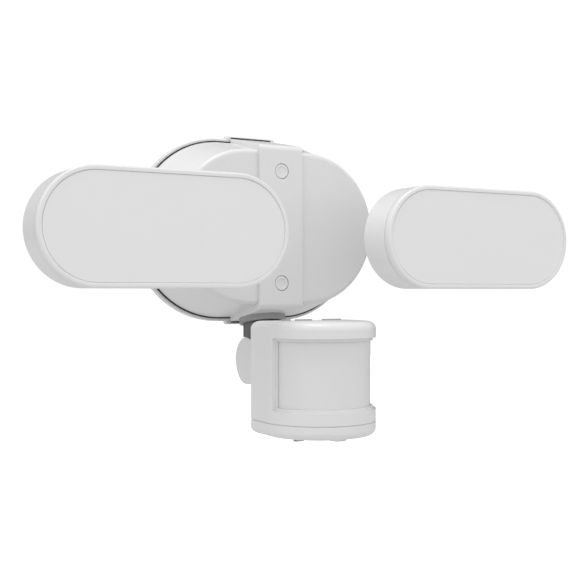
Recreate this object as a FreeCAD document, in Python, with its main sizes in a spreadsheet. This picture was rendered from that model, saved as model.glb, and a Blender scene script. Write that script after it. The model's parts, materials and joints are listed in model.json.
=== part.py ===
import FreeCAD, Part
import math
import os
import Sketcher
from FreeCAD import Placement, Rotation, Vector

# Twin-head wall floodlight with a motion sensor, in millimetres.
# +Z is up and the wall is the plane Y = 0: the lamp stands out of it towards -Y.
# The origin is the centre of the back plate on the wall.

SIZES = {
    # back plate: a stadium, two half rounds about centres at x = +-plate_centre
    "plate_radius": 63.5,
    "plate_centre": 24.9,
    "plate_rim": 4.0,
    "tab_reach": 65.8,
    "tab_half_width": 18.5,
    "pan_radius": 55.0,
    "pan_front": 7.0,
    "sheet_wall": 1.6,
    "foam_thickness": 1.5,
    "foam_outer": 60.5,
    "foam_inner": 54.6,
    # crossbar on the wall box
    "bar_width": 14.0,
    "bar_length": 100.0,
    "bar_thickness": 2.0,
    "box_spacing": 88.9,
    "box_hole": 2.2,
    "cover_spacing": 74.8,
    "ground_height": 15.0,
    "inlet_x": 55.0,
    "inlet_bore": 4.0,
    # cover: drafted stadium with a raised centre band
    "cover_back": 5.1,
    "cover_front": 47.2,
    "base_radius": 60.7,
    "face_radius": 51.0,
    "face_centre": 22.6,
    "cover_wall": 2.4,
    "face_round": 3.0,
    "band_round": 4.0,
    "band_front": 50.5,
    "band_half_width": 16.3,
    "band_base": 63.7,
    "band_top": 54.5,
    "cap_radius": 4.9,
    "screw_radius": 2.0,
    "post_x": 38.0,
    "post_height": 34.0,
    # arm seats on the cover's sides
    "boss_radius": 17.0,
    "boss_y": 27.0,
    "boss_drop": 2.0,
    "boss_face": 78.0,
    "shaft_radius": 6.0,
    "shaft_end": 60.0,
    "tube_radius": 7.5,
    "wire_radius": 3.5,
    # lamp heads: pills, two half rounds about centres +-head_centre from the middle
    "head_x": 109.9,
    "head_drop": 8.1,
    "head_radius": 33.1,
    "head_centre": 41.6,
    "head_front": 124.6,
    "head_back": 95.2,
    "bezel_depth": 4.6,
    "bezel_width": 3.0,
    "shell_wall": 2.4,
    "side_wall": 1.6,
    "seam": 0.5,
    "pivot_y": 80.0,
    "knuckle_radius": 11.0,
    "knuckle_height": 7.9,
    "half_gap": 0.3,
    "bolt_radius": 2.5,
    # sensor stem and tilt knuckle
    "stem_y": 22.0,
    "stem_radius": 13.0,
    "stem_top": 63.2,
    "stem_shaft": 8.0,
    "stem_end": 44.8,
    "collar_radius": 16.0,
    "collar_thickness": 4.0,
    "tilt_drop": 90.5,
    "tilt_radius": 16.0,
    "tilt_half_width": 12.5,
    # sensor drum: flat back and sides, half-round front
    "drum_radius": 36.0,
    "drum_centre": 98.0,
    "drum_back": 75.5,
    "drum_top": 61.2,
    "drum_seam": 123.4,
    "drum_bottom": 131.8,
    "drum_bore": 32.4,
    "drum_roof": 2.8,
    "frame_radius": 34.0,
    "frame_top": 71.3,
    "frame_bottom": 115.2,
    "window_top": 73.0,
    "window_bottom": 113.5,
    "recess_side": 103.4,
    "window_side": 104.2,
    "lens_thickness": 1.0,
    "dial_radius": 6.0,
    "dial_y": 113.0,
    "dial_x": 5.0,
    "switch_x": -17.0,
    "switch_y": 103.0,
    "control_reach": 134.8,
}

RUNNING_FIT = 0.05
MOVING_GAP = 0.3

# turns that carry a piece's own +Z to the named direction
UP = Rotation()
DOWN = Rotation(Vector(1, 0, 0), 180)
FRONT = Rotation(Vector(1, 0, 0), 90)
BACK = Rotation(Vector(1, 0, 0), -90)
RIGHT = Rotation(Vector(0, 1, 0), 90)
LEFT = Rotation(Vector(0, 1, 0), -90)

doc = FreeCAD.newDocument("floodlight")
sheet = doc.addObject("Spreadsheet::Sheet", "Sizes")
for row, (alias, number) in enumerate(SIZES.items(), start=1):
    sheet.set(f"A{row}", alias)
    sheet.set(f"B{row}", str(number))
    sheet.setAlias(f"B{row}", alias)
doc.recompute()

nodes = {}


class Size:
    """A length with its value and the sheet expression that gives it."""

    def __init__(self, value, text):
        self.value = value
        self.text = text

    def join(self, other, sign, value):
        return Size(value, f"({self.text} {sign} {as_size(other).text})")

    def __add__(self, other):
        return self.join(other, "+", self.value + as_size(other).value)

    def __sub__(self, other):
        return self.join(other, "-", self.value - as_size(other).value)

    def __mul__(self, other):
        return self.join(other, "*", self.value * as_size(other).value)

    def __truediv__(self, other):
        return self.join(other, "/", self.value / as_size(other).value)

    def __neg__(self):
        return self * -1


def as_size(length):
    return length if isinstance(length, Size) else Size(float(length), f"({float(length)})")


def size(alias):
    return Size(SIZES[alias], f"Sizes.{alias}")


def bind(thing, path, length):
    thing.setExpression(path, as_size(length).text)


def place(thing, turn=UP, x=0, y=0, z=0):
    thing.Placement = Placement(Vector(0, 0, 0), turn)
    bind(thing, "Placement.Base.x", x)
    bind(thing, "Placement.Base.y", y)
    bind(thing, "Placement.Base.z", z)
    return thing


def name_node(thing, label):
    thing.Label = label
    nodes[label] = thing
    return thing


class Piece:
    """A PartDesign body that is built up feature by feature."""

    def __init__(self, label):
        self.body = doc.addObject("PartDesign::Body", "Body_" + label)
        self.label = label
        self.count = 0
        name_node(self.body, label)

    def fresh(self, kind):
        self.count += 1
        return f"{kind}_{self.count}_{self.label}"

    def plane(self, role):
        return next(f for f in self.body.Origin.OriginFeatures if f.Role == role)

    def draw(self, role, offset=0, lift=0, slope=0):
        """A sketch on an origin plane, moved out along the plane's normal."""
        sketch = self.body.newObject("Sketcher::SketchObject", self.fresh("Sketch"))
        sketch.AttachmentSupport = (self.plane(role), [""])
        sketch.MapMode = "FlatFace"
        sketch.AttachmentOffset = Placement(Vector(0, 0, 0), Rotation(Vector(1, 0, 0), slope))
        bind(sketch, "AttachmentOffset.Base.y", lift)
        bind(sketch, "AttachmentOffset.Base.z", offset)
        return Drawing(sketch)

    def feature(self, kind, drawing, **settings):
        made = self.body.newObject("PartDesign::" + kind, self.fresh(kind))
        if drawing is not None:
            made.Profile = drawing.sketch
            drawing.sketch.Visibility = False
        for key, setting in settings.items():
            setattr(made, key, setting)
        return made

    def pad(self, drawing, length, **settings):
        made = self.feature("Pad", drawing, **settings)
        bind(made, "Length", length)
        return made

    def pocket(self, drawing, length, **settings):
        before = self.volume()
        made = self.feature("Pocket", drawing, **settings)
        bind(made, "Length", length)
        if not self.volume() < before:
            raise RuntimeError(f"{made.Name} cuts nothing")
        return made

    def loft(self, kind, first, second):
        made = self.feature(kind, first)
        made.Sections = [second.sketch]
        made.Ruled = True
        return made

    def turn(self, drawing):
        made = self.feature("Revolution", drawing)
        made.ReferenceAxis = (drawing.sketch, ["V_Axis"])
        made.Angle = 360
        return made

    def round_edges(self, radius, wanted):
        """Rounds each edge whose middle point passes the test."""
        doc.recompute()
        base = self.body.Tip
        names = [
            f"Edge{n}"
            for n, edge in enumerate(base.Shape.Edges, start=1)
            if wanted(edge.CenterOfMass, edge)
        ]
        made = self.feature("Fillet", None)
        made.Base = (base, names)
        bind(made, "Radius", radius)
        return made

    def volume(self):
        doc.recompute()
        return self.body.Shape.Volume


class Drawing:
    """A sketch whose every size is bound to the sheet."""

    def __init__(self, sketch):
        self.sketch = sketch
        self.count = 0

    def limit(self, kind, *where_and_length):
        *where, length = where_and_length
        length = as_size(length)
        index = self.sketch.addConstraint(Sketcher.Constraint(kind, *where, length.value))
        self.count += 1
        self.sketch.renameConstraint(index, f"d{self.count}")
        self.sketch.setExpression(f"Constraints.d{self.count}", length.text)

    def pin(self, shape, point, x, y):
        """Fixes a point of the sketch at x, y from its origin."""
        self.limit("DistanceX", -1, 1, shape, point, x)
        self.limit("DistanceY", -1, 1, shape, point, y)

    def circle(self, radius, x=0, y=0):
        x, y, radius = as_size(x), as_size(y), as_size(radius)
        middle = Vector(x.value, y.value, 0)
        ring = self.sketch.addGeometry(Part.Circle(middle, Vector(0, 0, 1), radius.value))
        self.limit("Radius", ring, radius)
        self.pin(ring, 3, x, y)
        return self

    def outline(self, *points):
        points = [(as_size(x), as_size(y)) for x, y in points]
        ends = [Vector(x.value, y.value, 0) for x, y in points]
        lines = [
            self.sketch.addGeometry(Part.LineSegment(start, end))
            for start, end in zip(ends, ends[1:] + ends[:1])
        ]
        for line, (x, y) in zip(lines, points):
            self.pin(line, 1, x, y)
        for line, after in zip(lines, lines[1:] + lines[:1]):
            self.sketch.addConstraint(Sketcher.Constraint("Coincident", line, 2, after, 1))
        return self

    def box(self, x0, y0, x1, y1):
        return self.outline((x0, y0), (x1, y0), (x1, y1), (x0, y1))

    def arc(self, x, y, radius, start, end):
        circle = Part.Circle(Vector(x.value, y.value, 0), Vector(0, 0, 1), radius.value)
        turn = Part.ArcOfCircle(circle, math.radians(start), math.radians(end))
        return self.sketch.addGeometry(turn)

    def tangent(self, *pairs):
        for pair in pairs:
            self.sketch.addConstraint(Sketcher.Constraint("Tangent", *pair))

    def pill(self, radius, half, x=0, y=0):
        """Two half rounds about x - half and x + half, joined by level lines."""
        radius, half, x, y = (as_size(v) for v in (radius, half, x, y))
        near, far = x - half, x + half
        top, low = y.value + radius.value, y.value - radius.value
        right = self.arc(far, y, radius, -90, 90)
        left = self.arc(near, y, radius, 90, 270)
        upper = self.sketch.addGeometry(
            Part.LineSegment(Vector(far.value, top, 0), Vector(near.value, top, 0))
        )
        lower = self.sketch.addGeometry(
            Part.LineSegment(Vector(near.value, low, 0), Vector(far.value, low, 0))
        )
        self.tangent((right, 2, upper, 1), (upper, 2, left, 1))
        self.tangent((left, 2, lower, 1), (lower, 2, right, 1))
        self.sketch.addConstraint(Sketcher.Constraint("Horizontal", upper))
        self.limit("Radius", right, radius)
        self.pin(right, 3, far, y)
        self.pin(left, 3, near, y)
        return self

    def arch(self, radius, centre, back):
        """A half round about y = -centre, open towards a flat back at y = -back."""
        radius, centre, back = (as_size(v) for v in (radius, centre, back))
        low, high, reach = -centre.value, -back.value, radius.value
        front = self.arc(Size(0.0, "0"), -centre, radius, 180, 360)
        corners = [
            Vector(reach, low, 0),
            Vector(reach, high, 0),
            Vector(-reach, high, 0),
            Vector(-reach, low, 0),
        ]
        side, rear, other = (
            self.sketch.addGeometry(Part.LineSegment(start, end))
            for start, end in zip(corners, corners[1:])
        )
        self.tangent((front, 2, side, 1), (other, 2, front, 1))
        for pair in ((side, 2, rear, 1), (rear, 2, other, 1)):
            self.sketch.addConstraint(Sketcher.Constraint("Coincident", *pair))
        self.sketch.addConstraint(Sketcher.Constraint("Horizontal", rear))
        self.limit("Radius", front, radius)
        self.pin(front, 3, 0, -centre)
        self.limit("DistanceY", -1, 1, side, 2, -back)
        return self


def turned(label, *outlines, turn=UP, x=0, y=0, z=0):
    """A round piece: outlines of (radius, height) turned about the piece's own Z."""
    piece = Piece(label)
    drawing = piece.draw("XZ_Plane")
    for outline in outlines:
        drawing.outline(*outline)
    piece.turn(drawing)
    place(piece.body, turn, x, y, z)
    return piece


def ring(outer, inner, low, high):
    return [(inner, low), (outer, low), (outer, high), (inner, high)]


def cylinder(radius, height, turn=UP, x=0, y=0, z=0):
    made = doc.addObject("Part::Cylinder", "Cylinder")
    bind(made, "Radius", radius)
    bind(made, "Height", height)
    return place(made, turn, x, y, z)


def block(length, width, height, x=0, y=0, z=0):
    made = doc.addObject("Part::Box", "Box")
    bind(made, "Length", length)
    bind(made, "Width", width)
    bind(made, "Height", height)
    return place(made, UP, x, y, z)


def fuse(*shapes):
    made = doc.addObject("Part::MultiFuse", "Fuse")
    made.Shapes = list(shapes)
    return made


def cut(base, tool):
    made = doc.addObject("Part::Cut", "Cut")
    made.Base = base
    made.Tool = tool
    return made


def group(label, things):
    made = doc.addObject("Part::Compound", "Group_" + label)
    made.Links = list(things)
    return name_node(made, label)


def screw(radius, length, head_radius, head_height, turn=UP, x=0, y=0, z=0):
    """A pan-head screw: its head stands on its own origin and its shank runs down from it."""
    head = cylinder(head_radius, head_height)
    shank = cylinder(radius, length, DOWN)
    slot = block(head_radius * 1.4, 0.8, 0.8, -head_radius * 0.7, -0.4, head_height - 0.8)
    return place(cut(fuse(head, shank), slot), turn, x, y, z)


def hex_nut(label, across, height, bore, turn=UP, x=0, y=0, z=0):
    prism = doc.addObject("Part::Prism", "Prism")
    prism.Polygon = 6
    bind(prism, "Circumradius", across / 2 / math.cos(math.pi / 6))
    bind(prism, "Height", height)
    return name_node(place(cut(prism, cylinder(bore, height)), turn, x, y, z), label)


def mirror_to_left(label):
    """The left-hand twin of a right-hand piece, mirrored in the plane X = 0."""
    made = doc.addObject("Part::Mirroring", "Mirror_" + label)
    made.Source = nodes[f"right_{label}"]
    made.Base = Vector(0, 0, 0)
    made.Normal = Vector(1, 0, 0)
    return name_node(made, f"left_{label}")


# ---------------------------------------------------------------- wall side
PLATE_HOLE = 2.75
GASKET_EDGE = 0.9
CAP_GAP = 0.3
CAP_DEPTH = 2.5
DISH_RADIUS = 3.0
DISH_DEPTH = 0.4
GROUND_SCREW = 1.8
POST_SCREW = 1.7
POST_RADIUS = 4.5
GROMMET_SEAT = 8.0
DRIVER_SCREW = 1.4
DRIVER_EAR_X = 39.0
half_box = size("box_spacing") / 2
half_cover = size("cover_spacing") / 2
pan_back = size("pan_front") - size("sheet_wall")
posts = [(sx, sz) for sx in (1, -1) for sz in (1, -1)]


def build_back_plate():
    plate = Piece("back_plate")
    centre, rim = size("plate_centre"), size("plate_rim")
    plate.pad(plate.draw("XZ_Plane").pill(size("plate_radius"), centre), rim)
    reach, width = size("tab_reach"), size("tab_half_width")
    root, foot = size("plate_radius") - 3, width + 2.5
    for side in (1, -1):
        tab = plate.draw("XZ_Plane").outline(
            (-foot, root * side), (foot, root * side), (width, reach * side), (-width, reach * side)
        )
        plate.pad(tab, rim)
    plate.pad(plate.draw("XZ_Plane", rim).pill(size("pan_radius"), centre), size("pan_front") - rim)
    hollow = plate.draw("XZ_Plane").pill(size("pan_radius") - size("sheet_wall"), centre)
    plate.pocket(hollow, pan_back, Reversed=True)
    groove = plate.draw("XZ_Plane").pill(size("foam_outer"), centre).pill(size("foam_inner"), centre)
    plate.pocket(groove, size("foam_thickness"), Reversed=True)
    holes = plate.draw("XZ_Plane", pan_back)
    for side in (1, -1):
        holes.circle(PLATE_HOLE, 0, half_cover * side)
        holes.circle(DRIVER_SCREW + RUNNING_FIT, DRIVER_EAR_X * side, 0)
    for side, way in posts:
        holes.circle(POST_SCREW + RUNNING_FIT, size("post_x") * side, size("post_height") * way)
    holes.circle(GROMMET_SEAT, size("inlet_x"), 0)
    plate.pocket(holes, size("sheet_wall"), Reversed=True)
    plate.round_edges(
        0.8,
        lambda middle, edge: abs(middle.y + SIZES["plate_rim"]) < 0.01
        and edge.BoundBox.YLength < 0.01
        and max(edge.BoundBox.ZMax, -edge.BoundBox.ZMin) > SIZES["base_radius"],
    )


def build_wall_gasket():
    foam = Piece("wall_gasket")
    centre = size("plate_centre")
    outline = foam.draw("XZ_Plane").pill(size("foam_outer") - 0.1, centre)
    foam.pad(outline.pill(size("foam_inner") + 0.1, centre), size("foam_thickness"))


def build_housing_gasket():
    seal = Piece("housing_gasket")
    centre, rim = size("plate_centre"), size("plate_rim")
    thickness = size("cover_back") - rim
    outline = seal.draw("XZ_Plane", rim).pill(size("base_radius") + GASKET_EDGE, centre)
    seal.pad(outline.pill(size("pan_radius") + 0.2, centre), thickness)
    half, root, end = size("band_half_width") - 1, size("base_radius") - 3, size("band_base") + 1
    for side in (1, -1):
        seal.pad(seal.draw("XZ_Plane", rim).box(-half, root * side, half, end * side), thickness)


def build_crossbar():
    bar = Piece("crossbar")
    half, end, bevel = size("bar_width") / 2, size("bar_length") / 2, 2
    outline = bar.draw("XZ_Plane").outline(
        (-half, -end + bevel),
        (-half + bevel, -end),
        (half - bevel, -end),
        (half, -end + bevel),
        (half, end - bevel),
        (half - bevel, end),
        (-half + bevel, end),
        (-half, end - bevel),
    )
    bar.pad(outline, size("bar_thickness"))
    holes = bar.draw("XZ_Plane")
    for side in (1, -1):
        holes.circle(size("box_hole"), 0, half_box * side)
        holes.circle(size("screw_radius") + RUNNING_FIT, 0, half_cover * side)
    holes.circle(GROUND_SCREW + RUNNING_FIT, 0, size("ground_height"))
    bar.pocket(holes, size("bar_thickness"), Reversed=True)


def build_wall_fasteners():
    ground = screw(
        GROUND_SCREW, size("bar_thickness"), 3.2, 2.0,
        FRONT, 0, -size("bar_thickness"), size("ground_height"),
    )
    name_node(ground, "ground_screw")
    # the plate screws go in from the wall side, into the cover's posts
    fixings = [
        screw(POST_SCREW, 14, 3.2, 2.2, BACK, size("post_x") * sx, -pan_back, size("post_height") * sz)
        for sx, sz in posts
    ]
    group("plate_screws", fixings)
    head_seat = size("cover_front") - 3.2
    long = head_seat - 0.3
    group(
        "cover_screws",
        [
            screw(size("screw_radius"), long, 4.2, 2.6, FRONT, 0, -head_seat, half_cover * side)
            for side in (1, -1)
        ],
    )


def cone_stack(*steps):
    """Round steps of (lower radius, height, upper radius), one on the other along +Z."""
    parts = []
    level = as_size(0)
    for low, height, high in steps:
        if as_size(low).value == as_size(high).value:
            parts.append(cylinder(low, height, z=level))
        else:
            cone = doc.addObject("Part::Cone", "Cone")
            bind(cone, "Radius1", low)
            bind(cone, "Radius2", high)
            bind(cone, "Height", height)
            parts.append(place(cone, z=level))
        level = level + height
    return fuse(*parts) if len(parts) > 1 else parts[0]


def build_screw_caps():
    caps = []
    for side in (1, -1):
        centre = {"y": -size("band_front") + CAP_DEPTH, "z": half_cover * side}
        plug = cone_stack(
            (size("cap_radius"), CAP_DEPTH - 0.4, size("cap_radius")),
            (size("cap_radius"), 0.4, size("cap_radius") - 0.4),
        )
        dish = cone_stack((DISH_RADIUS, DISH_DEPTH + 0.1, DISH_RADIUS + DISH_DEPTH))
        place(dish, z=CAP_DEPTH - DISH_DEPTH)
        caps.append(place(cut(plug, dish), FRONT, **centre))
    group("screw_caps", caps)


def build_grommet():
    web = size("sheet_wall")
    outline = [
        (size("inlet_bore"), -2.0),
        (9.5, -2.0),
        (9.5, 0.0),
        (GROMMET_SEAT, 0.0),
        (GROMMET_SEAT, web),
        (9.5, web),
        (9.5, web + 2.0),
        (size("inlet_bore"), web + 2.0),
    ]
    turned("wire_grommet", outline, turn=FRONT, x=size("inlet_x"), y=-pan_back)


# ------------------------------------------------------------------- cover
def lies_at(edge, depth):
    """True for an edge that lies wholly in the plane Y = -depth."""
    return edge.BoundBox.YLength < 0.01 and abs(edge.BoundBox.YMin + depth) < 0.01


def build_cover():
    cover = Piece("cover")
    back, front, wall = size("cover_back"), size("cover_front"), size("cover_wall")
    base, face = size("base_radius"), size("face_radius")
    near, far = size("plate_centre"), size("face_centre")
    foot = cover.draw("XZ_Plane", back).pill(base, near)
    cover.loft("AdditiveLoft", foot, cover.draw("XZ_Plane", front).pill(face, far))
    cover.round_edges(size("face_round"), lambda middle, edge: lies_at(edge, SIZES["cover_front"]))

    band_front, low, high = size("band_front"), size("band_base"), size("band_top")
    band = cover.draw("YZ_Plane").outline(
        (-back, -low), (-band_front, -high), (-band_front, high), (-back, low)
    )
    cover.pad(band, size("band_half_width") * 2, Midplane=True)
    ends = SIZES["band_top"] - 1
    cover.round_edges(
        size("band_round"),
        lambda middle, edge: lies_at(edge, SIZES["band_front"]) and abs(middle.z) > ends,
    )
    cover.round_edges(
        0.8,
        lambda middle, edge: lies_at(edge, SIZES["band_front"]) and abs(middle.z) < 1,
    )

    # round arm seats: raised at the front of the drafted side, spot-faced at its back
    seat = (-size("boss_y"), -size("boss_drop"))
    seat_x, radius = size("boss_face"), size("boss_radius")
    cover.pad(cover.draw("YZ_Plane").circle(radius, *seat), seat_x * 2, Midplane=True)
    for side in (1, -1):
        spot = cover.draw("YZ_Plane", seat_x * side).circle(radius, *seat)
        cover.pocket(spot, 16, Reversed=side > 0)
    foot = cover.draw("XZ_Plane", back).pill(base - wall, near)
    cover.loft("SubtractiveLoft", foot, cover.draw("XZ_Plane", front - wall).pill(face - wall, far))

    # inner bosses for the two arms, the sensor stem, the cover screws and the plate screws
    depth = front - size("pan_front") - 1
    for side in (1, -1):
        boss = cover.draw("YZ_Plane", (seat_x - ARM_BOSS) * side).circle(ARM_BOSS_RADIUS, *seat)
        cover.pad(boss, ARM_BOSS - 0.5, Reversed=side < 0)
    stem = cover.draw("XY_Plane", -STEM_BOSS_LOW).circle(STEM_BOSS_RADIUS, 0, -size("stem_y"))
    cover.pad(stem, STEM_BOSS_LOW - STEM_BOSS_TOP)
    tubes = cover.draw("XZ_Plane", size("pan_front"))
    for side in (1, -1):
        tubes.circle(COVER_TUBE, 0, half_cover * side)
    for side, way in posts:
        tubes.circle(POST_RADIUS, size("post_x") * side, size("post_height") * way)
    cover.pad(tubes, depth)

    bore = cover.draw("YZ_Plane").circle(size("shaft_radius") + RUNNING_FIT, *seat)
    cover.pocket(bore, seat_x * 2 + 2, Midplane=True)
    bore = cover.draw("XY_Plane", -STEM_BOSS_TOP + 1)
    bore.circle(size("stem_shaft") + RUNNING_FIT, 0, -size("stem_y"))
    cover.pocket(bore, 20)
    holes = (
        (size("cap_radius") + CAP_GAP, band_front - 2.6, 2.7),
        (4.5, front - 3.2, band_front - front + 0.7),
        (size("screw_radius") + 0.3, size("pan_front") - 1, front),
    )
    for radius, start, length in holes:
        ends = cover.draw("XZ_Plane", start)
        for side in (1, -1):
            ends.circle(radius, 0, half_cover * side)
        cover.pocket(ends, length, Reversed=True)
    threads = cover.draw("XZ_Plane", size("pan_front"))
    for side, way in posts:
        threads.circle(POST_SCREW + RUNNING_FIT, size("post_x") * side, size("post_height") * way)
    cover.pocket(threads, 14, Reversed=True)


ARM_BOSS = 8.0
ARM_BOSS_RADIUS = 14.0
STEM_BOSS_RADIUS = 13.0
STEM_BOSS_LOW = 56.0
STEM_BOSS_TOP = 50.5
COVER_TUBE = 6.5


def build_driver():
    base = size("pan_front")
    case = Piece("led_driver")
    case.pad(case.draw("XZ_Plane", base).box(-33, -22, 33, 22), 24)
    case.round_edges(2, lambda middle, edge: edge.BoundBox.YLength > 20)
    ears = case.draw("XZ_Plane", base).box(-43, -7, 43, 7)
    case.pad(ears, 2)
    holes = case.draw("XZ_Plane", base)
    for side in (1, -1):
        holes.circle(DRIVER_SCREW + RUNNING_FIT, DRIVER_EAR_X * side, 0)
    case.pocket(holes, 2, Reversed=True)
    group(
        "driver_screws",
        [
            screw(DRIVER_SCREW, 3.4, 2.8, 1.9, FRONT, DRIVER_EAR_X * side, -base - 2, 0)
            for side in (1, -1)
        ],
    )
    terminals = Piece("terminal_block")
    terminals.pad(terminals.draw("XZ_Plane", base).box(-62, 10, -48, 34), 11)
    pits = terminals.draw("XZ_Plane", base + 7)
    for level in (14, 22, 30):
        pits.circle(2.2, -55, level)
    terminals.pocket(pits, 5, Reversed=True)


# -------------------------------------------------------------------- arms
SEAL_FACE = 0.35
SEAL_THICKNESS = 1.65
FLANGE_RADIUS = 14.0
FLANGE_THICKNESS = 4.0
ELBOW_RADIUS = 20.0
SHOULDER = 41.0
NECK_START = 66.0


def build_arm():
    """The shaft turns in the cover's seat; the elbow ends in the upper half of the pan knuckle."""
    arm = Piece("right_arm")
    seat_y, seat_z = -size("boss_y"), -size("boss_drop")
    flange_x = size("boss_face") + SEAL_FACE + SEAL_THICKNESS
    shaft = arm.draw("YZ_Plane", size("shaft_end")).circle(size("shaft_radius"), seat_y, seat_z)
    arm.pad(shaft, flange_x - size("shaft_end") + 1)
    arm.pad(arm.draw("YZ_Plane", flange_x).circle(FLANGE_RADIUS, seat_y, seat_z), FLANGE_THICKNESS)
    arm.round_edges(
        1.5,
        lambda middle, edge: edge.BoundBox.XLength < 0.01
        and edge.BoundBox.XMin > flange_x.value + 1
        and edge.BoundBox.ZLength > FLANGE_RADIUS,
    )
    droop = math.degrees(
        math.atan2(
            SIZES["head_drop"] - SIZES["boss_drop"], SIZES["pivot_y"] - SIZES["boss_y"]
        )
    )
    path = arm.draw("XY_Plane", seat_z, seat_y, droop)
    start, bend, reach = flange_x + 1, size("head_x") - ELBOW_RADIUS, size("head_x")
    run = path.sketch.addGeometry(
        Part.LineSegment(Vector(start.value, 0, 0), Vector(bend.value, 0, 0))
    )
    elbow = path.arc(bend, as_size(-ELBOW_RADIUS), as_size(ELBOW_RADIUS), 0, 90)
    drop = path.sketch.addGeometry(
        Part.LineSegment(Vector(reach.value, -ELBOW_RADIUS, 0), Vector(reach.value, -SHOULDER, 0))
    )
    path.pin(run, 1, start, 0)
    path.tangent((run, 2, elbow, 2), (elbow, 1, drop, 1))
    path.sketch.addConstraint(Sketcher.Constraint("Horizontal", run))
    path.limit("Radius", elbow, ELBOW_RADIUS)
    path.limit("DistanceX", -1, 1, drop, 2, reach)
    path.limit("DistanceY", -1, 1, drop, 2, -SHOULDER)
    path.sketch.addConstraint(Sketcher.Constraint("Vertical", drop))
    section = arm.draw("YZ_Plane", start).circle(size("tube_radius"), seat_y, seat_z)
    pipe = arm.feature("AdditivePipe", section)
    pipe.Spine = path.sketch
    low = size("head_drop") - size("half_gap")
    pivot_x, pivot_y = size("head_x"), -size("pivot_y")
    knuckle = arm.draw("XY_Plane", -low).circle(size("knuckle_radius"), pivot_x, pivot_y)
    arm.pad(knuckle, size("knuckle_height"))
    neck = arm.draw("XY_Plane", -low).box(pivot_x - 7, pivot_y, pivot_x + 7, -NECK_START)
    arm.pad(neck, size("knuckle_height"))
    bore = arm.draw("XY_Plane", -low - 1).circle(size("bolt_radius") + RUNNING_FIT, pivot_x, pivot_y)
    arm.pocket(bore, 20, Reversed=True)
    wires = arm.draw("YZ_Plane", size("shaft_end")).circle(size("wire_radius"), seat_y, seat_z)
    arm.pocket(wires, 32, Reversed=True)


def build_arm_fittings():
    seat = {"y": -size("boss_y"), "z": -size("boss_drop")}
    bore = size("shaft_radius") + RUNNING_FIT
    seal = ring(13.5, bore, 0, SEAL_THICKNESS)
    turned("right_arm_seal", seal, turn=RIGHT, x=size("boss_face") + SEAL_FACE, **seat)
    inner = size("boss_face") - ARM_BOSS
    hex_nut("right_arm_nut", 17, 5, bore, LEFT, inner - MOVING_GAP, **seat)
    pivot = {"x": size("head_x"), "y": -size("pivot_y")}
    top = size("knuckle_height") + size("half_gap") - size("head_drop")
    low = size("knuckle_height") + size("half_gap") + size("head_drop")
    bolt = screw(size("bolt_radius"), 25, 4.6, 2.8, UP, z=top, **pivot)
    name_node(bolt, "right_pivot_bolt")
    nut_bore = size("bolt_radius") + RUNNING_FIT
    hex_nut("right_pivot_nut", 8, 4, nut_bore, DOWN, z=-low - MOVING_GAP, **pivot)


# ------------------------------------------------------------------- heads
BEZEL_ROUND = 1.4
FLANGE_GAP = 0.12
DIFFUSER_RECESS = 0.4
BOARD_THICKNESS = 1.6
BOARD_SCREW = 1.25
BOARD_SPOT = 60.0
LED_SIZE = 3.5
LED_HEIGHT = 0.8
LED_COLUMNS = 9
LED_PITCH = 13.0
LED_ROW = 9.0
mouth = size("head_radius") - size("side_wall")
half_head = size("head_centre")
shell_front = size("head_front") - size("bezel_depth")
opening = size("head_radius") - size("bezel_width")


def head_pill(piece, radius, depth, inner=None):
    """A pill, or a pill-shaped ring, drawn square to Y at a depth in front of the wall."""
    drawing = piece.draw("XZ_Plane", depth)
    for outline in (radius, inner):
        if outline is not None:
            drawing.pill(outline, half_head, size("head_x"), -size("head_drop"))
    return drawing


def board_holes(piece, depth):
    """The two screw holes that hold a head's light board."""
    holes = piece.draw("XZ_Plane", depth)
    for side in (1, -1):
        holes.circle(BOARD_SCREW + RUNNING_FIT, size("head_x") + BOARD_SPOT * side, -size("head_drop"))
    return holes


def build_head_shell():
    shell = Piece("right_head_shell")
    back, radius = size("head_back"), size("head_radius")
    shell.pad(head_pill(shell, radius, back), shell_front - back - size("seam"))
    shell.round_edges(2.0, lambda middle, edge: lies_at(edge, SIZES["head_back"]))
    shell.pad(head_pill(shell, radius - size("seam"), shell_front - 1), 1)
    shell.pocket(head_pill(shell, mouth, back + size("shell_wall")), 40, Reversed=True)
    pivot_x, pivot_y = size("head_x"), -size("pivot_y")
    low = size("head_drop") + size("half_gap") + size("knuckle_height")
    pad = shell.draw("XZ_Plane", back - 3.2).circle(13, pivot_x, -size("head_drop"))
    shell.pad(pad, 4)
    shell.pad(
        shell.draw("XY_Plane", -low).circle(size("knuckle_radius"), pivot_x, pivot_y),
        size("knuckle_height"),
    )
    neck = shell.draw("XY_Plane", -low).box(pivot_x - 8, -back - 1, pivot_x + 8, pivot_y)
    shell.pad(neck, size("knuckle_height"))
    bore = shell.draw("XY_Plane", -low - 1).circle(size("bolt_radius") + RUNNING_FIT, pivot_x, pivot_y)
    shell.pocket(bore, 12, Reversed=True)
    shell.pocket(board_holes(shell, back - 1), 6, Reversed=True)


def is_outer(edge):
    """True for an edge on the outer wall of a head."""
    reach = [
        math.hypot(max(abs(v.X - SIZES["head_x"]) - SIZES["head_centre"], 0), v.Z + SIZES["head_drop"])
        for v in edge.Vertexes
    ]
    return min(reach) > SIZES["head_radius"] - BEZEL_ROUND - 0.1


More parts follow.
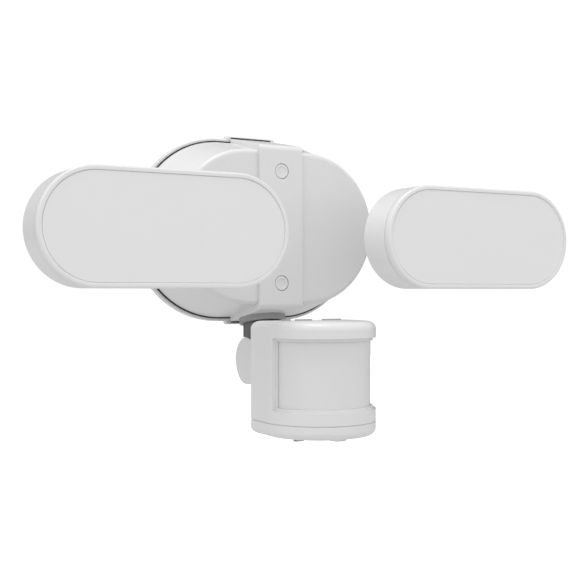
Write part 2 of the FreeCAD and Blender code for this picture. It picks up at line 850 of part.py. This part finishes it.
def build_head_front():
    bezel = Piece("right_bezel")
    bezel.pad(head_pill(bezel, size("head_radius"), shell_front, opening), size("bezel_depth"))
    for radius, outer in ((BEZEL_ROUND, True), (0.5, False)):
        bezel.round_edges(
            radius,
            lambda middle, edge: lies_at(edge, SIZES["head_front"]) and is_outer(edge) == outer,
        )
    seal = Piece("right_bezel_gasket")
    seal.pad(head_pill(seal, mouth - 0.3, shell_front - 0.5, opening + 0.4), 0.5)
    diffuser = Piece("right_diffuser")
    flange = shell_front - 2
    diffuser.pad(head_pill(diffuser, mouth - 0.3, flange), 1.5)
    face = size("head_front") - DIFFUSER_RECESS - flange - 0.5
    diffuser.pad(head_pill(diffuser, opening - FLANGE_GAP, flange + 0.5), face)


def build_light_engine():
    board_back = size("head_back") + size("shell_wall")
    board_front = board_back + BOARD_THICKNESS
    reflector = Piece("right_reflector")
    wall = head_pill(reflector, mouth - 0.3, board_front, mouth - 1.5)
    reflector.pad(wall, shell_front - 2 - board_front)
    board = Piece("right_led_board")
    board.pad(head_pill(board, mouth - 1.7, board_back), BOARD_THICKNESS)
    board.pocket(board_holes(board, board_back), BOARD_THICKNESS, Reversed=True)
    leds = []
    for column in range(LED_COLUMNS):
        across = (column - (LED_COLUMNS - 1) / 2) * LED_PITCH - LED_SIZE / 2
        for row in (1, -1):
            height = -size("head_drop") + LED_ROW * row - LED_SIZE / 2
            spot = (size("head_x") + across, -board_front - LED_HEIGHT, height)
            leds.append(block(LED_SIZE, LED_HEIGHT, LED_SIZE, *spot))
    group("right_leds", leds)
    fixings = [
        screw(
            BOARD_SCREW, 4, 2.6, 1.6,
            FRONT, size("head_x") + BOARD_SPOT * side, -board_front, -size("head_drop"),
        )
        for side in (1, -1)
    ]
    group("right_board_screws", fixings)


# ------------------------------------------------------------ sensor mount
def build_sensor_mount():
    # the collar lies on the drafted underside of the band; the stem turns upright inside it
    slope = math.atan2(
        SIZES["band_base"] - SIZES["band_top"], SIZES["band_front"] - SIZES["cover_back"]
    )
    run = size("stem_y") - size("cover_back")
    seat = size("band_base") - run * math.tan(slope)
    disc = cylinder(size("collar_radius"), size("collar_thickness"), Rotation(
        Vector(1, 0, 0), 180 - math.degrees(slope)
    ), 0, -size("stem_y"), -seat)
    bore = cylinder(size("stem_radius") + MOVING_GAP, 30, DOWN, 0, -size("stem_y"), -size("drum_top") + 10)
    name_node(cut(disc, bore), "sensor_collar")

    stem = Piece("stem")
    axis = {"y": -size("stem_y")}
    top, low = -size("stem_top"), -(size("tilt_drop") - size("tilt_radius")) + MOVING_GAP
    half, radius, shaft = size("tilt_half_width"), size("stem_radius"), size("stem_shaft")
    profile = stem.draw("XZ_Plane")
    profile.outline(
        (WIRE_BORE, low),
        (radius, low),
        (radius, top),
        (shaft, top),
        (shaft, RING_LOW),
        (shaft - RING_DEPTH, RING_LOW),
        (shaft - RING_DEPTH, RING_LOW + RING_HEIGHT),
        (shaft, RING_LOW + RING_HEIGHT),
        (shaft, -size("stem_end")),
        (WIRE_BORE, -size("stem_end")),
    )
    stem.turn(profile)
    drop = -size("tilt_drop")
    stem.pad(stem.draw("YZ_Plane", -half).circle(size("tilt_radius"), 0, drop), half - KNUCKLE_GAP)
    cheek = stem.draw("YZ_Plane", -CHEEK_REACH).box(-CHEEK_REACH, drop, CHEEK_REACH, low + 1)
    stem.pad(cheek, CHEEK_REACH - KNUCKLE_GAP)
    bolt = stem.draw("YZ_Plane", -BOLT_DEPTH - 0.2).circle(size("bolt_radius") + RUNNING_FIT, 0, drop)
    stem.pocket(bolt, 20, Reversed=True)
    place(stem.body, **axis)

    seal = ring(shaft, shaft - RING_DEPTH, 0, RING_HEIGHT)
    turned("stem_o_ring", seal, z=RING_LOW, **axis)
    hex_nut("stem_nut", 21, 4, size("stem_shaft") + RUNNING_FIT, z=-STEM_BOSS_TOP + MOVING_GAP, **axis)
    washer_face = half + MOVING_GAP
    bolt_length = washer_face + BOLT_DEPTH + WASHER
    bolt = screw(size("bolt_radius"), bolt_length, 4.6, 2.4, RIGHT, washer_face + WASHER, z=drop, **axis)
    name_node(bolt, "tilt_bolt")
    washer = ring(6.0, size("bolt_radius") + RUNNING_FIT, 0, WASHER)
    turned("tilt_washer", washer, turn=RIGHT, x=washer_face, z=drop, **axis)


KNUCKLE_GAP = 0.2
WIRE_BORE = 4.0
RING_LOW = -55.0
RING_DEPTH = 1.4
RING_HEIGHT = 2.0
CHEEK_REACH = 9.0
BOLT_DEPTH = 9.0
WASHER = 1.2


def build_sensor_arm():
    """The lower half of the tilt knuckle, bridged to the flat back of the drum."""
    arm = Piece("sensor_arm")
    half, drop, radius = size("tilt_half_width"), -size("tilt_drop"), size("tilt_radius")
    axis, back = -size("stem_y"), -size("drum_back")
    arm.pad(arm.draw("YZ_Plane", KNUCKLE_GAP).circle(radius, axis, drop), half - KNUCKLE_GAP)
    beam = arm.draw("YZ_Plane", KNUCKLE_GAP).outline(
        (axis, drop - radius + 2), (axis, drop + 9), (back, drop + 9), (back, drop - 14)
    )
    arm.pad(beam, half - KNUCKLE_GAP)
    foot = arm.draw("XZ_Plane", size("drum_back") - 4).box(-16, drop - 14, 16, drop + 14)
    arm.pad(foot, 4)
    bore = arm.draw("YZ_Plane", -1).circle(size("bolt_radius") + RUNNING_FIT, axis, drop)
    arm.pocket(bore, 20, Reversed=True)
    holes = arm.draw("XZ_Plane", size("drum_back") - 4)
    for side in (1, -1):
        holes.circle(ARM_SCREW + RUNNING_FIT, 12 * side - 1, drop + 11 * side)
    arm.pocket(holes, 4, Reversed=True)
    fixings = [
        screw(ARM_SCREW, 3.4 + 3.8, 2.8, 1.8, FRONT, 12 * side - 1, back - 3.4, drop + 11 * side)
        for side in (1, -1)
    ]
    group("sensor_arm_screws", fixings)


ARM_SCREW = 1.5


# ------------------------------------------------------------ sensor drum
CAP_SCREW = 1.4
CAP_SCREW_SPOTS = ((24, 82), (-24, 82))
RIB_HEIGHT = 1.1
RIBS = ((-26.0, 5.9), (-16.5, 11.7), (3.0, 13.6))
SLOT_HALF = 5.6


def build_sensor_housing():
    housing = Piece("sensor_housing")
    radius, centre, back = size("drum_radius"), size("drum_centre"), size("drum_back")
    seam, roof = -size("drum_seam"), size("drum_top") + size("drum_roof")
    groove = size("seam")
    body = housing.draw("XY_Plane", seam + groove).arch(radius, centre, back)
    housing.pad(body, size("drum_seam") - groove - size("drum_top"))
    housing.round_edges(5.0, lambda middle, edge: edge.BoundBox.ZMin > -SIZES["drum_top"] - 0.01)
    lip = housing.draw("XY_Plane", seam).arch(radius - groove, centre, back + groove)
    housing.pad(lip, groove + 1)
    inside = housing.draw("XY_Plane", seam)
    inside.arch(size("drum_bore"), centre, back + 3.4)
    housing.pocket(inside, size("drum_seam") - roof, Reversed=True)

    # the recessed window frame and the window through it, round the whole front
    recess = housing.draw("XY_Plane", -size("frame_bottom"))
    front_half(recess, size("frame_radius"), radius + 3, size("recess_side"))
    housing.pocket(recess, size("frame_bottom") - size("frame_top"), Reversed=True)
    window = housing.draw("XY_Plane", -size("window_bottom"))
    front_half(window, size("drum_bore") - 1, radius + 3, size("window_side"))
    housing.pocket(window, size("window_bottom") - size("window_top"), Reversed=True)

    ribs = housing.draw("XY_Plane", -size("drum_top") - 0.5)
    for start, length in RIBS:
        ribs.box(start, -centre - 0.6, start + length, -centre + 0.6)
    housing.pad(ribs, RIB_HEIGHT + 0.5)
    posts = housing.draw("XY_Plane", seam)
    for x, y in CAP_SCREW_SPOTS:
        posts.circle(3.2, x, -y)
    housing.pad(posts, size("drum_seam") - roof + 1)
    threads = housing.draw("XY_Plane", seam)
    for x, y in CAP_SCREW_SPOTS:
        threads.circle(CAP_SCREW + RUNNING_FIT, x, -y)
    housing.pocket(threads, 12, Reversed=True)
    holes = housing.draw("XZ_Plane", back - 1)
    for side in (1, -1):
        holes.circle(ARM_SCREW + RUNNING_FIT, 12 * side - 1, -size("tilt_drop") + 11 * side)
    housing.pocket(holes, 5, Reversed=True)


def front_half(drawing, inner, outer, side):
    """Everything outside a radius in front of the drum's side walls, which end at y = -side."""
    centre, start = -size("drum_centre"), -side
    inner, outer = as_size(inner), as_size(outer)
    drop = start.value - centre.value
    reach = math.sqrt(inner.value**2 - drop**2)
    angle = math.degrees(math.asin(-drop / inner.value))
    arc = drawing.arc(Size(0.0, "0"), centre, inner, 180 + angle, 360 - angle)
    far = centre - outer
    corners = [
        Vector(reach, start.value, 0),
        Vector(outer.value, start.value, 0),
        Vector(outer.value, far.value, 0),
        Vector(-outer.value, far.value, 0),
        Vector(-outer.value, start.value, 0),
        Vector(-reach, start.value, 0),
    ]
    lines = [
        drawing.sketch.addGeometry(Part.LineSegment(start_point, end_point))
        for start_point, end_point in zip(corners, corners[1:])
    ]
    for line, after in zip(lines, lines[1:]):
        drawing.sketch.addConstraint(Sketcher.Constraint("Coincident", line, 2, after, 1))
    drawing.sketch.addConstraint(Sketcher.Constraint("Coincident", arc, 2, lines[0], 1))
    drawing.sketch.addConstraint(Sketcher.Constraint("Coincident", lines[-1], 2, arc, 1))
    drawing.limit("Radius", arc, inner)
    drawing.pin(arc, 3, 0, centre)
    drawing.pin(lines[1], 1, outer, start)
    drawing.pin(lines[2], 1, outer, far)
    drawing.pin(lines[3], 1, -outer, far)
    drawing.pin(lines[4], 1, -outer, start)
    drawing.sketch.addConstraint(Sketcher.Constraint("Horizontal", lines[0]))
    drawing.sketch.addConstraint(Sketcher.Constraint("Horizontal", lines[4]))
    return drawing


def build_lens():
    lens = Piece("fresnel_lens")
    outer = size("drum_bore") - 0.2
    sheet_pad = lens.draw("XY_Plane", -size("window_bottom") - 2)
    sheet_pad.arch(outer, size("drum_centre"), size("drum_centre") - 1)
    lens.pad(sheet_pad, size("window_bottom") - size("window_top") + 4)
    inner = lens.draw("XY_Plane", -size("window_bottom") - 3)
    inner.arch(outer - size("lens_thickness"), size("drum_centre"), size("drum_centre") - 3)
    lens.pocket(inner, 50, Reversed=True)


def build_bottom_cap():
    cap = Piece("bottom_cap")
    seam, low = -size("drum_seam"), -size("drum_bottom")
    centre, back = size("drum_centre"), size("drum_back")
    depth = size("drum_bottom") - size("drum_seam")
    cap.pad(cap.draw("XY_Plane", low).arch(size("drum_radius"), centre, back), depth)
    cap.round_edges(4.5, lambda middle, edge: edge.BoundBox.ZMax < -SIZES["drum_bottom"] + 0.01)
    hollow = cap.draw("XY_Plane", low + CAP_FLOOR).arch(size("drum_bore"), centre, back + 3.4)
    cap.pocket(hollow, 6, Reversed=True)
    bosses = cap.draw("XY_Plane", low + 2.5)
    for x, y in CAP_SCREW_SPOTS:
        bosses.circle(3.2, x, -y)
    cap.pad(bosses, depth - 2.5)
    holes = cap.draw("XY_Plane", low - 1)
    for x, y in CAP_SCREW_SPOTS:
        holes.circle(CAP_SCREW + RUNNING_FIT, x, -y)
    cap.pocket(holes, 10, Reversed=True)
    seats = cap.draw("XY_Plane", low - 1)
    for x, y in CAP_SCREW_SPOTS:
        seats.circle(2.9, x, -y)
    cap.pocket(seats, 3, Reversed=True)
    controls = cap.draw("XY_Plane", low - 1)
    controls.circle(size("dial_radius") + MOVING_GAP, size("dial_x"), -size("dial_y"))
    controls.circle(PHOTOCELL_RADIUS + RUNNING_FIT, PHOTOCELL_X, -PHOTOCELL_Y)
    x, y = size("switch_x"), -size("switch_y")
    controls.box(x - SLOT_HALF, y - 1.9, x + SLOT_HALF, y + 1.9)
    cap.pocket(controls, 5, Reversed=True)
    group(
        "cap_screws",
        [screw(CAP_SCREW, 12, 2.6, 1.6, DOWN, x, -y, low + 2) for x, y in CAP_SCREW_SPOTS],
    )


CAP_FLOOR = 3.0
PHOTOCELL_RADIUS = 3.5
PHOTOCELL_X = 19.0
PHOTOCELL_Y = 104.0


def build_controls():
    reach, low = size("control_reach"), size("drum_bottom")
    dial = Piece("range_dial")
    radius, inner = size("dial_radius"), reach - low + CAP_FLOOR + MOVING_GAP
    profile = dial.draw("XZ_Plane")
    profile.outline(
        (0, 0),
        (radius - 1, 0),
        (radius, 1),
        (radius, inner),
        (radius + 2, inner),
        (radius + 2, inner + 1.5),
        (0, inner + 1.5),
    )
    dial.turn(profile)
    slot = dial.draw("XZ_Plane", -8).box(-0.8, -1, 0.8, 1.2)
    dial.pocket(slot, 16, Reversed=True)
    place(dial.body, x=size("dial_x"), y=-size("dial_y"), z=-reach)

    knob = Piece("time_switch")
    x, y = size("switch_x"), -size("switch_y")
    knob.pad(knob.draw("XY_Plane", -reach).box(x - 3, y - 1.5, x + 3, y + 1.5), reach - low + 3.4)
    shoe = knob.draw("XY_Plane", -low + CAP_FLOOR + MOVING_GAP).box(x - 6.5, y - 3, x + 6.5, y + 3)
    knob.pad(shoe, 1.2)

    turned("photocell", [(0, 0), (PHOTOCELL_RADIUS, 0), (PHOTOCELL_RADIUS, 5), (0, 5)],
           x=PHOTOCELL_X, y=-PHOTOCELL_Y, z=-low)


def build_sensor_board():
    board = Piece("sensor_board")
    board.pad(board.draw("XZ_Plane", 88).box(-20, -114, 20, -72), 1.6)
    can = [(0, 0), (5.2, 0), (5.2, 0.8), (4.6, 0.8), (4.6, 4.5), (0, 4.5)]
    turned("pir_element", can, turn=FRONT, y=-89.6, z=-(size("window_top") + size("window_bottom")) / 2)


# ---------------------------------------------------------------- assembly
build_back_plate()
build_wall_gasket()
build_housing_gasket()
build_crossbar()
build_wall_fasteners()
build_screw_caps()
build_grommet()
build_cover()
build_driver()
build_arm()
build_arm_fittings()
build_head_shell()
build_head_front()
build_light_engine()
for piece_name in [label for label in nodes if label.startswith("right_")]:
    mirror_to_left(piece_name.removeprefix("right_"))
build_sensor_mount()
build_sensor_arm()
build_sensor_housing()
build_lens()
build_bottom_cap()
build_controls()
build_sensor_board()
doc.recompute()

for thing in doc.Objects:
    if {"Invalid", "Error"} & set(thing.State):
        raise RuntimeError(f"{thing.Name} failed: {thing.State}")
for label, thing in nodes.items():
    if thing.Shape.isNull() or not thing.Shape.isValid():
        raise RuntimeError(f"{label} has no valid shape")

os.makedirs("parts", exist_ok=True)
for label, thing in nodes.items():
    thing.Shape.exportStep(f"parts/{label}.step")
print(len(nodes), "nodes written")
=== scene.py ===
import json
import math

import bpy
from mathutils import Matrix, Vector

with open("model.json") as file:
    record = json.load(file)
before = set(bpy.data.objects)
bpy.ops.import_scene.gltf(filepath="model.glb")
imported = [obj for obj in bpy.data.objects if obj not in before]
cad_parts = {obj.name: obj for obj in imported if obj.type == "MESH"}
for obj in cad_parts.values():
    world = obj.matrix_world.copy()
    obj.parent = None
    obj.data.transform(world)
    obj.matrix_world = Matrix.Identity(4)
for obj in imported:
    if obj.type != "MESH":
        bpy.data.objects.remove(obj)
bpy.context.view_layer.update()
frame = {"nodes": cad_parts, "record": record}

MM = 0.001

# ------------------------------------------------------------------ camera
CAMERA_AZIMUTH = 29.13  # degrees to the left of straight in front
CAMERA_PLACE = (-0.3245, -0.6439, -0.0429)
SENSOR_WIDTH = 36.0
FOCAL_LENGTH = 62.9
HORIZON_SHIFT = 0.0026
FAR_CLIP = 50


def add_camera():
    data = bpy.data.cameras.new("camera")
    data.sensor_width = SENSOR_WIDTH
    data.lens = FOCAL_LENGTH
    data.shift_y = HORIZON_SHIFT
    data.clip_end = FAR_CLIP
    camera = bpy.data.objects.new("camera", data)
    camera.location = CAMERA_PLACE
    camera.rotation_euler = (math.radians(90), 0, -math.radians(CAMERA_AZIMUTH))
    bpy.context.collection.objects.link(camera)
    bpy.context.scene.camera = camera


# ------------------------------------------------------------------- nodes
NOISE_ROUGHNESS = 0.55
GRAIN_DEPTH = 0.05 * MM
SOFT_EDGE = 0.3 * MM
EDGE_SAMPLES = 6
GLOSS_SPREAD = 0.05
MIX_A, MIX_B, MIXED = 6, 7, 2  # colour sockets of a mix node


class Tree:
    """A node tree, with short calls for its nodes and links."""

    def __init__(self, tree):
        self.tree = tree

    def add(self, kind, **settings):
        node = self.tree.nodes.new("ShaderNode" + kind)
        for key, setting in settings.items():
            setattr(node, key, setting)
        return node

    def link(self, source, target):
        self.tree.links.new(source, target)

    def spread(self, value, **limits):
        """Maps a value from one range to another; a limit that isn't given is 0 or 1."""
        node = self.add("MapRange", interpolation_type=limits.pop("interpolation", "LINEAR"))
        for key, limit in limits.items():
            node.inputs[key.replace("_", " ").title()].default_value = limit
        self.link(value, node.inputs["Value"])
        return node.outputs["Result"]

    def along(self, direction):
        """How far the direction of a ray points along a given one."""
        node = self.add("VectorMath", operation="DOT_PRODUCT")
        node.inputs[1].default_value = direction
        self.link(self.add("TexCoord").outputs["Generated"], node.inputs[0])
        return node.outputs["Value"]

    def seen_by_camera(self):
        return self.add("LightPath").outputs["Is Camera Ray"]


class Finish(Tree):
    """A material, laid out in the piece's own space."""

    def __init__(self, name):
        self.material = bpy.data.materials.new(name)
        self.material.use_nodes = True
        super().__init__(self.material.node_tree)
        self.shader = self.tree.nodes["Principled BSDF"]

    def object_space(self):
        return self.add("TexCoord").outputs["Object"]

    def noise(self, scale, detail):
        node = self.add("TexNoise")
        node.inputs["Scale"].default_value = scale
        node.inputs["Detail"].default_value = detail
        node.inputs["Roughness"].default_value = NOISE_ROUGHNESS
        self.link(self.object_space(), node.inputs["Vector"])
        return node.outputs["Fac"]

    def tint(self, value, first, second):
        node = self.add("Mix", data_type="RGBA")
        node.inputs[MIX_A].default_value = (*first, 1)
        node.inputs[MIX_B].default_value = (*second, 1)
        self.link(value, node.inputs[0])
        return node.outputs[MIXED]

    def choose(self, mask, first, second):
        node = self.add("Mix", data_type="RGBA")
        self.link(mask, node.inputs[0])
        self.link(first, node.inputs[MIX_A])
        self.link(second, node.inputs[MIX_B])
        return node.outputs[MIXED]

    def above(self, level, blend):
        """0 below a level of the piece's own Z and 1 above it."""
        split = self.add("SeparateXYZ")
        self.link(self.object_space(), split.inputs[0])
        return self.spread(split.outputs["Z"], from_min=level - blend, from_max=level + blend)

    def surface(self, colour, grain, roughness, metallic, bump):
        """A colour with a fine grain, uneven gloss and soft edges."""
        fine = self.noise(grain, FINE_DETAIL)
        gloss = self.spread(fine, to_min=roughness - GLOSS_SPREAD, to_max=roughness + GLOSS_SPREAD)
        self.link(colour, self.shader.inputs["Base Color"])
        self.link(gloss, self.shader.inputs["Roughness"])
        self.shader.inputs["Metallic"].default_value = metallic
        edges = self.add("Bevel", samples=EDGE_SAMPLES)
        edges.inputs["Radius"].default_value = SOFT_EDGE
        relief = self.add("Bump")
        relief.inputs["Strength"].default_value = bump
        relief.inputs["Distance"].default_value = GRAIN_DEPTH
        self.link(edges.outputs["Normal"], relief.inputs["Normal"])
        self.link(fine, relief.inputs["Height"])
        self.link(relief.outputs["Normal"], self.shader.inputs["Normal"])


# --------------------------------------------------------------- materials
SLOW_SCALE = 35.0
SLOW_SCALE_TWO_TONE = 60.0
SLOW_DETAIL = 3.0
FINE_DETAIL = 2.0
LEVEL_BLEND = 0.2 * MM
WHITE = 0.77
# The head shells and bezels get a whiter tone than the cover, partly as painted light.
HEAD_WHITE_AND_PAINTED_LIGHT = 0.81
WHITE_STEP = 0.02
PLASTIC_GRAIN = 2600
CAST_GRAIN = 1500
SATIN = 0.34
PLAIN_BUMP = 0.05
CAST_BUMP = 0.08
SHAFT_LOW = -0.0742  # the stem is grey above this: partly its grey shaft, partly painted shade between the collar and the drum
SHAFT_GREY_AND_SHADE = 0.12
ROOF_LEVEL = -0.0610  # the ribs stand above the sensor's roof, and are painted grey there as painted shade
RIB_PAINTED_SHADE = 0.40
GREY_STEP = 0.03


def grey(level):
    return (level, level, level)


def grained(name, light, dark, grain, roughness, metallic=0.0, bump=PLAIN_BUMP):
    """A solid finish whose tone varies slowly between two colours."""
    finish = Finish(name)
    colour = finish.tint(finish.noise(SLOW_SCALE, SLOW_DETAIL), light, dark)
    finish.surface(colour, grain, roughness, metallic, bump)
    return finish.material


def white(name, level, grain=PLASTIC_GRAIN, roughness=SATIN, bump=PLAIN_BUMP):
    return grained(name, grey(level), grey(level - WHITE_STEP), grain, roughness, bump=bump)


def white_with_grey_and_painted_shade_above(name, level, grey_and_painted_shade):
    """A white moulding that is grey above one level; the grey is painted shade, wholly on the
    sensor ribs and partly on the stem.
    """
    finish = Finish(name)
    slow = finish.noise(SLOW_SCALE_TWO_TONE, SLOW_DETAIL)
    below = finish.tint(slow, grey(WHITE), grey(WHITE - WHITE_STEP))
    above = finish.tint(slow, grey(grey_and_painted_shade), grey(grey_and_painted_shade - GREY_STEP))
    colour = finish.choose(finish.above(level, LEVEL_BLEND), below, above)
    finish.surface(colour, PLASTIC_GRAIN, SATIN, 0.0, PLAIN_BUMP)
    return finish.material


def slot_materials():
    """The finish of each material slot of the record."""
    made = {
        "white_plastic": white("white_plastic", WHITE),
        "white_paint": white("white_paint", WHITE, CAST_GRAIN, roughness=0.38, bump=CAST_BUMP),
        "white_casting": white("white_casting", HEAD_WHITE_AND_PAINTED_LIGHT, CAST_GRAIN, bump=CAST_BUMP),
    }

    def put(slot, light, dark, **finish):
        made[slot] = grained(slot, light, dark, **finish)

    put("black_rubber", grey(0.02), grey(0.035), grain=1800, roughness=0.75, bump=0.1)
    put("zinc_steel", (0.6, 0.61, 0.63), (0.5, 0.51, 0.53), grain=900, roughness=0.32, metallic=1.0)
    put("ground_green", (0.04, 0.3, 0.1), (0.03, 0.24, 0.08), grain=1500, roughness=0.4)
    put("driver_case", grey(0.06), grey(0.08), grain=2000, roughness=0.5)
    put("terminal_nylon", (0.8, 0.79, 0.74), (0.76, 0.75, 0.7), grain=2200, roughness=0.4)
    put("frosted_diffuser", grey(0.82), grey(0.81), grain=5200, roughness=0.55, bump=0.12)
    put("white_reflector", grey(0.9), grey(0.88), grain=2000, roughness=0.2)
    put("led_board_white", grey(0.85), grey(0.82), grain=1500, roughness=0.35)
    put("led_phosphor", (0.85, 0.68, 0.2), (0.8, 0.62, 0.16), grain=4000, roughness=0.3)
    put("window_film", grey(0.75), grey(0.74), grain=4200, roughness=0.5)
    # This grey is partly painted shade, where the sensor collar sits in deep shade under the
    # housing.
    put("control_grey", grey(0.34), grey(0.31), grain=2400, roughness=0.45)
    put("dark_lens", (0.06, 0.02, 0.02), (0.05, 0.02, 0.02), grain=1200, roughness=0.12)
    put("circuit_green", (0.03, 0.2, 0.08), (0.02, 0.16, 0.06), grain=1600, roughness=0.35)
    return made


def dress_cad_nodes():
    """Gives each node its slot's material, or its own where it differs from the slot: painted shade
    on the stem and the sensor ribs, painted light on the bezels.
    """
    made = slot_materials()
    own = {
        # The stem's dark grey is partly painted shade between the collar and the drum.
        "stem": white_with_grey_and_painted_shade_above("stem_grey_and_painted_shade", SHAFT_LOW, SHAFT_GREY_AND_SHADE),
        # The grey of the sensor ribs is painted shade.
        "sensor_housing": white_with_grey_and_painted_shade_above("ribs_painted_shade", ROOF_LEVEL, RIB_PAINTED_SHADE),
    }
    # The bezels are white plastic parts; this brighter copy of the white is painted light.
    bezel = white("bezel_painted_light", HEAD_WHITE_AND_PAINTED_LIGHT)
    own.update({f"{side}_bezel": bezel for side in ("left", "right")})
    for entry in frame["record"]["subparts"]:
        node = frame["nodes"][entry["node"]]
        material = own.get(entry["node"], made[entry["material_slot"]])
        node.data.materials.clear()
        node.data.materials.append(material)


# ------------------------------------------------------------------- stage
FLOOR_LEVEL = -0.55
FLOOR_HALF = 6.0
FLOOR_TONE = 0.75
FLOOR_ROUGHNESS = 0.9
BACKDROP_LEVEL = 1.05
DOME_LEVEL = 1.02
DOME_SLOPE = (-0.04, 0.0, -0.12)
FLAG_TOWARDS = (0.49, 0.87, 0.0)
FLAG_START = 0.35
FLAG_FULL = 0.80
FLAG_TONE = 0.1
OVERHEAD_PLACE = (-0.2, -0.3, 1.3)
OVERHEAD_TARGET = (0, -0.08, 0)
OVERHEAD_SIZE = 0.5
OVERHEAD_POWER = 6.0
PURE_WHITE = (1, 1, 1, 1)


def add_world():
    """White to the camera; for lighting, a soft dome with a dark flag behind the lamp."""
    world = bpy.data.worlds.new("studio")
    world.use_nodes = True
    world.node_tree.nodes.clear()
    sky = Tree(world.node_tree)
    level = sky.add("Math", operation="ADD")
    level.inputs[1].default_value = DOME_LEVEL
    sky.link(sky.along(DOME_SLOPE), level.inputs[0])
    flag = sky.spread(
        sky.along(FLAG_TOWARDS), interpolation="SMOOTHSTEP",
        from_min=FLAG_START, from_max=FLAG_FULL, to_min=1.0, to_max=FLAG_TONE,
    )
    shade = sky.add("Math", operation="MULTIPLY")
    sky.link(level.outputs[0], shade.inputs[0])
    sky.link(flag, shade.inputs[1])
    dome = sky.add("Background")
    dome.inputs["Color"].default_value = PURE_WHITE
    sky.link(shade.outputs[0], dome.inputs["Strength"])
    backdrop = sky.add("Background")
    backdrop.inputs["Color"].default_value = PURE_WHITE
    backdrop.inputs["Strength"].default_value = BACKDROP_LEVEL
    mix = sky.add("MixShader")
    sky.link(sky.seen_by_camera(), mix.inputs["Fac"])
    sky.link(dome.outputs[0], mix.inputs[1])
    sky.link(backdrop.outputs[0], mix.inputs[2])
    sky.link(mix.outputs[0], sky.add("OutputWorld").inputs["Surface"])
    bpy.context.scene.world = world


def add_floor():
    """A pale floor that is white to the camera."""
    mesh = bpy.data.meshes.new("floor")
    signs = [(-1, -1), (1, -1), (1, 1), (-1, 1)]
    corners = [(x * FLOOR_HALF, y * FLOOR_HALF, FLOOR_LEVEL) for x, y in signs]
    mesh.from_pydata(corners, [], [(0, 1, 2, 3)])
    floor = bpy.data.objects.new("floor", mesh)
    bpy.context.collection.objects.link(floor)
    finish = Finish("pale_floor")
    finish.shader.inputs["Base Color"].default_value = (*grey(FLOOR_TONE), 1)
    finish.shader.inputs["Roughness"].default_value = FLOOR_ROUGHNESS
    finish.shader.inputs["Emission Color"].default_value = PURE_WHITE
    finish.link(finish.seen_by_camera(), finish.shader.inputs["Emission Strength"])
    mesh.materials.append(finish.material)


def add_overhead():
    data = bpy.data.lights.new("overhead", "AREA")
    data.shape = "SQUARE"
    data.size = OVERHEAD_SIZE
    data.energy = OVERHEAD_POWER
    light = bpy.data.objects.new("overhead", data)
    light.location = OVERHEAD_PLACE
    aim = Vector(OVERHEAD_TARGET) - Vector(OVERHEAD_PLACE)
    light.rotation_euler = aim.to_track_quat("-Z", "Y").to_euler()
    bpy.context.collection.objects.link(light)


# ---------------------------------------------------------------- assembly
bpy.context.scene.view_settings.view_transform = "Standard"
add_camera()
add_world()
add_floor()
add_overhead()
dress_cad_nodes()
